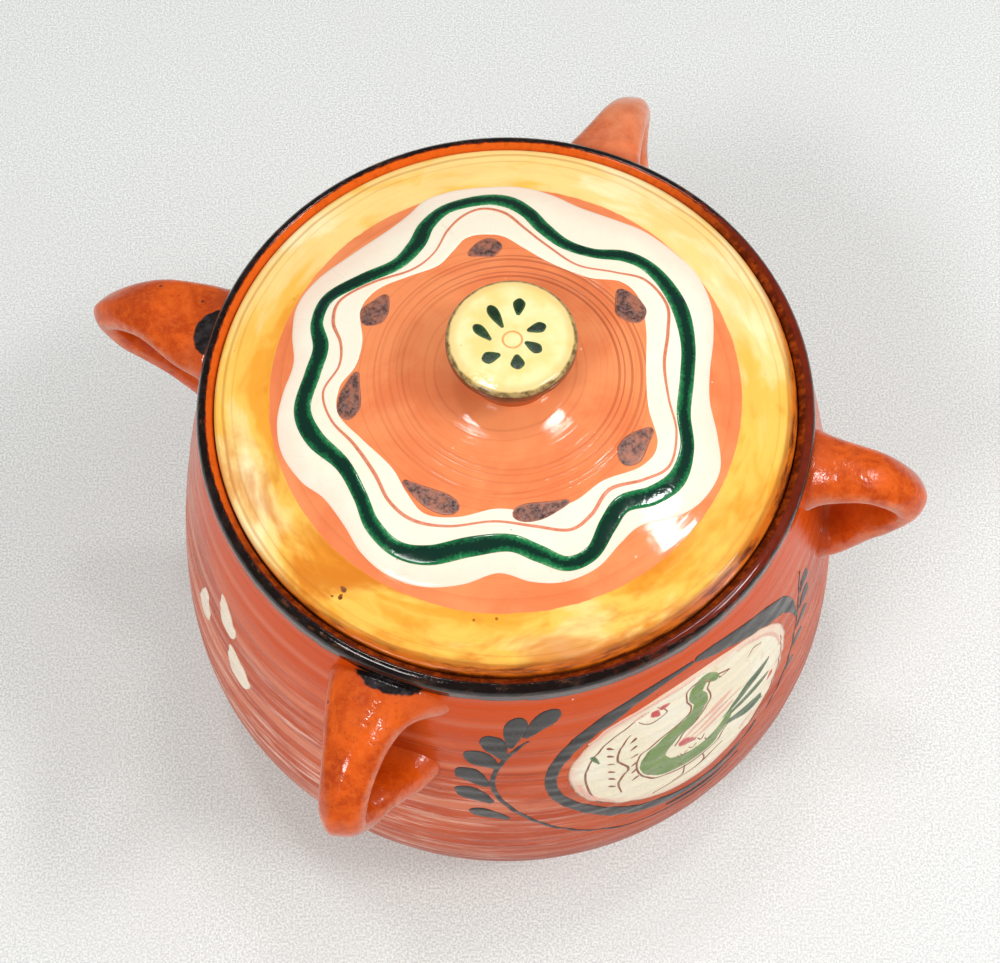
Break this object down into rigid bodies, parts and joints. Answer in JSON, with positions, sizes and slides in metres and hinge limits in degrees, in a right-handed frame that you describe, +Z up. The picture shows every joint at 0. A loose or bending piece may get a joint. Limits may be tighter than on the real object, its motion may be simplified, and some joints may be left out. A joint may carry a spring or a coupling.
{
  "type": "lidded stew pot",
  "caption": "Lidded earthenware stew pot with a round belly, pulled strap handles below the rim and a low domed lid with a turned knob.",
  "frame": {"origin": "centre of the flat foot, on the surface the pot stands on", "axes": "+Z up along the pot's turning axis, -Y towards the side with the round painted panel, +X to the right of it"},
  "size_m": [0.3085, 0.2941, 0.2532],
  "materials": {
    "pot_clay": "red earthenware under a thin clear glaze, glossy near the rim and duller below, with wheel lines",
    "handle_clay": "red earthenware under a thick clear glaze, glossy and orange",
    "rim_black": "black slip under clear glaze, glossy",
    "lid_glaze": "honey yellow glaze on the border and orange clay on the dome, glossy",
    "knob_glaze": "cream slip under clear glaze, glossy, with a worn brown edge",
    "cream_slip": "brushed cream slip under clear glaze",
    "green_slip": "brushed copper green under clear glaze",
    "brown_slip": "thin brown and red lines under clear glaze"
  },
  "bodies": {
    "pot": {"pot_body": "pot_clay", "handle_front": "handle_clay", "handle_right": "handle_clay", "handle_back": "handle_clay", "handle_left": "handle_clay"},
    "lid": {"lid": "lid_glaze", "lid_knob": "knob_glaze"}
  },
  "joints": [
    {"name": "lid_lift", "type": "slide", "parent": "pot", "child": "lid", "axis": [0, 0, 1], "range_m": [0, 0.16]}
  ]
}
